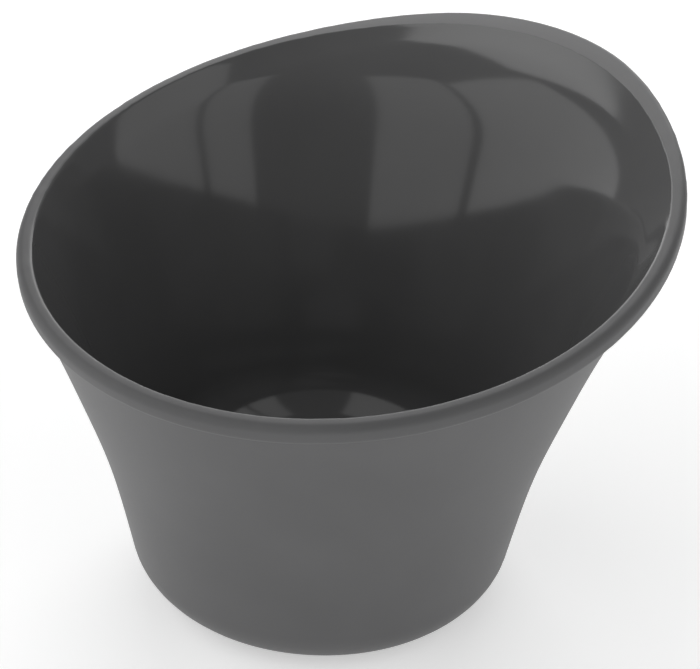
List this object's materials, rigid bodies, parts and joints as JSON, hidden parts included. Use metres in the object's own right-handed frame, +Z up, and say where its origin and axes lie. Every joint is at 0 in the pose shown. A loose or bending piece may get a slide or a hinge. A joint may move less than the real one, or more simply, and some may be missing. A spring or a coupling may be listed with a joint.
{
  "type": "slanted serving bowl",
  "caption": "Slanted serving bowl: round rounded foot, wall flaring like a trumpet to a sloping beaded rim that stands higher at the back than at the front.",
  "frame": {"origin": "on the table, under the middle of the bowl's outline", "axes": "+Z up, -Y towards the low side of the rim, +Y towards the high side, X across the bowl"},
  "size_m": [0.1582, 0.18, 0.1149],
  "materials": {
    "body": "satin charcoal moulded plastic, glossier on the food side"
  },
  "bodies": {
    "root": {"serving_bowl": "body"}
  },
  "joints": []
}
